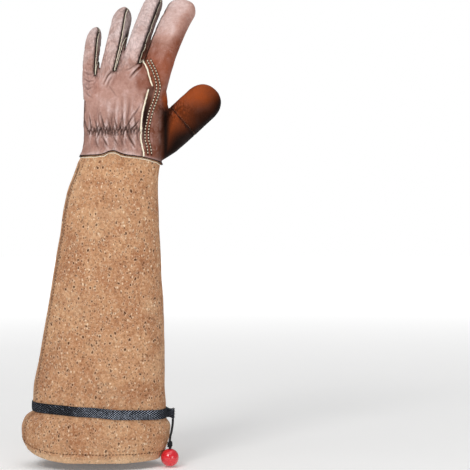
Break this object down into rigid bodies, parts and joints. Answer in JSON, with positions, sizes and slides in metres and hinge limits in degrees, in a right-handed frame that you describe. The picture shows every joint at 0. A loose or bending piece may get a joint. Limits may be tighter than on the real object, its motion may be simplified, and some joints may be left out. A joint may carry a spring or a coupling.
{
  "type": "rose pruning gauntlet",
  "caption": "Left-hand leather work glove in worn form, with a long flared suede cuff, gathered wrist, elastic at the cuff and a bead on a cord.",
  "frame": {"origin": "centre of the wearer's wrist, inside the hollow, level with the hand's wrist hem", "axes": "+Z along the forearm towards the fingertips, -Y out of the back of the hand, +X towards the thumb"},
  "size_m": [0.216, 0.093, 0.5177],
  "materials": {
    "leather_back": "pale pink-tan grain leather, satin, browner in its folds",
    "leather_palm": "tan-brown grain leather, satin",
    "leather_thumb": "rust-brown grain leather, satin, darker towards the wrist",
    "leather_gusset": "brown grain leather of the finger gussets",
    "raw_edge": "cream raw leather edge",
    "suede": "mottled tan split suede with dark pores, matt",
    "elastic": "black woven elastic, matt with pale weave",
    "cord": "black cord, matt",
    "bead": "red, high gloss"
  },
  "bodies": {
    "root": {"back_panel": "leather_back", "palm_panel": "leather_palm", "thumb_panel": "leather_thumb", "fourchette_little_ring": "leather_gusset", "fourchette_ring_middle": "leather_gusset", "fourchette_middle_index": "leather_gusset", "seam_welt_upper": "raw_edge", "seam_welt_lower": "raw_edge", "cuff": "suede", "elastic_band": "elastic", "toggle_cord": "cord", "cord_knot": "cord", "toggle_bead": "bead"}
  },
  "joints": []
}
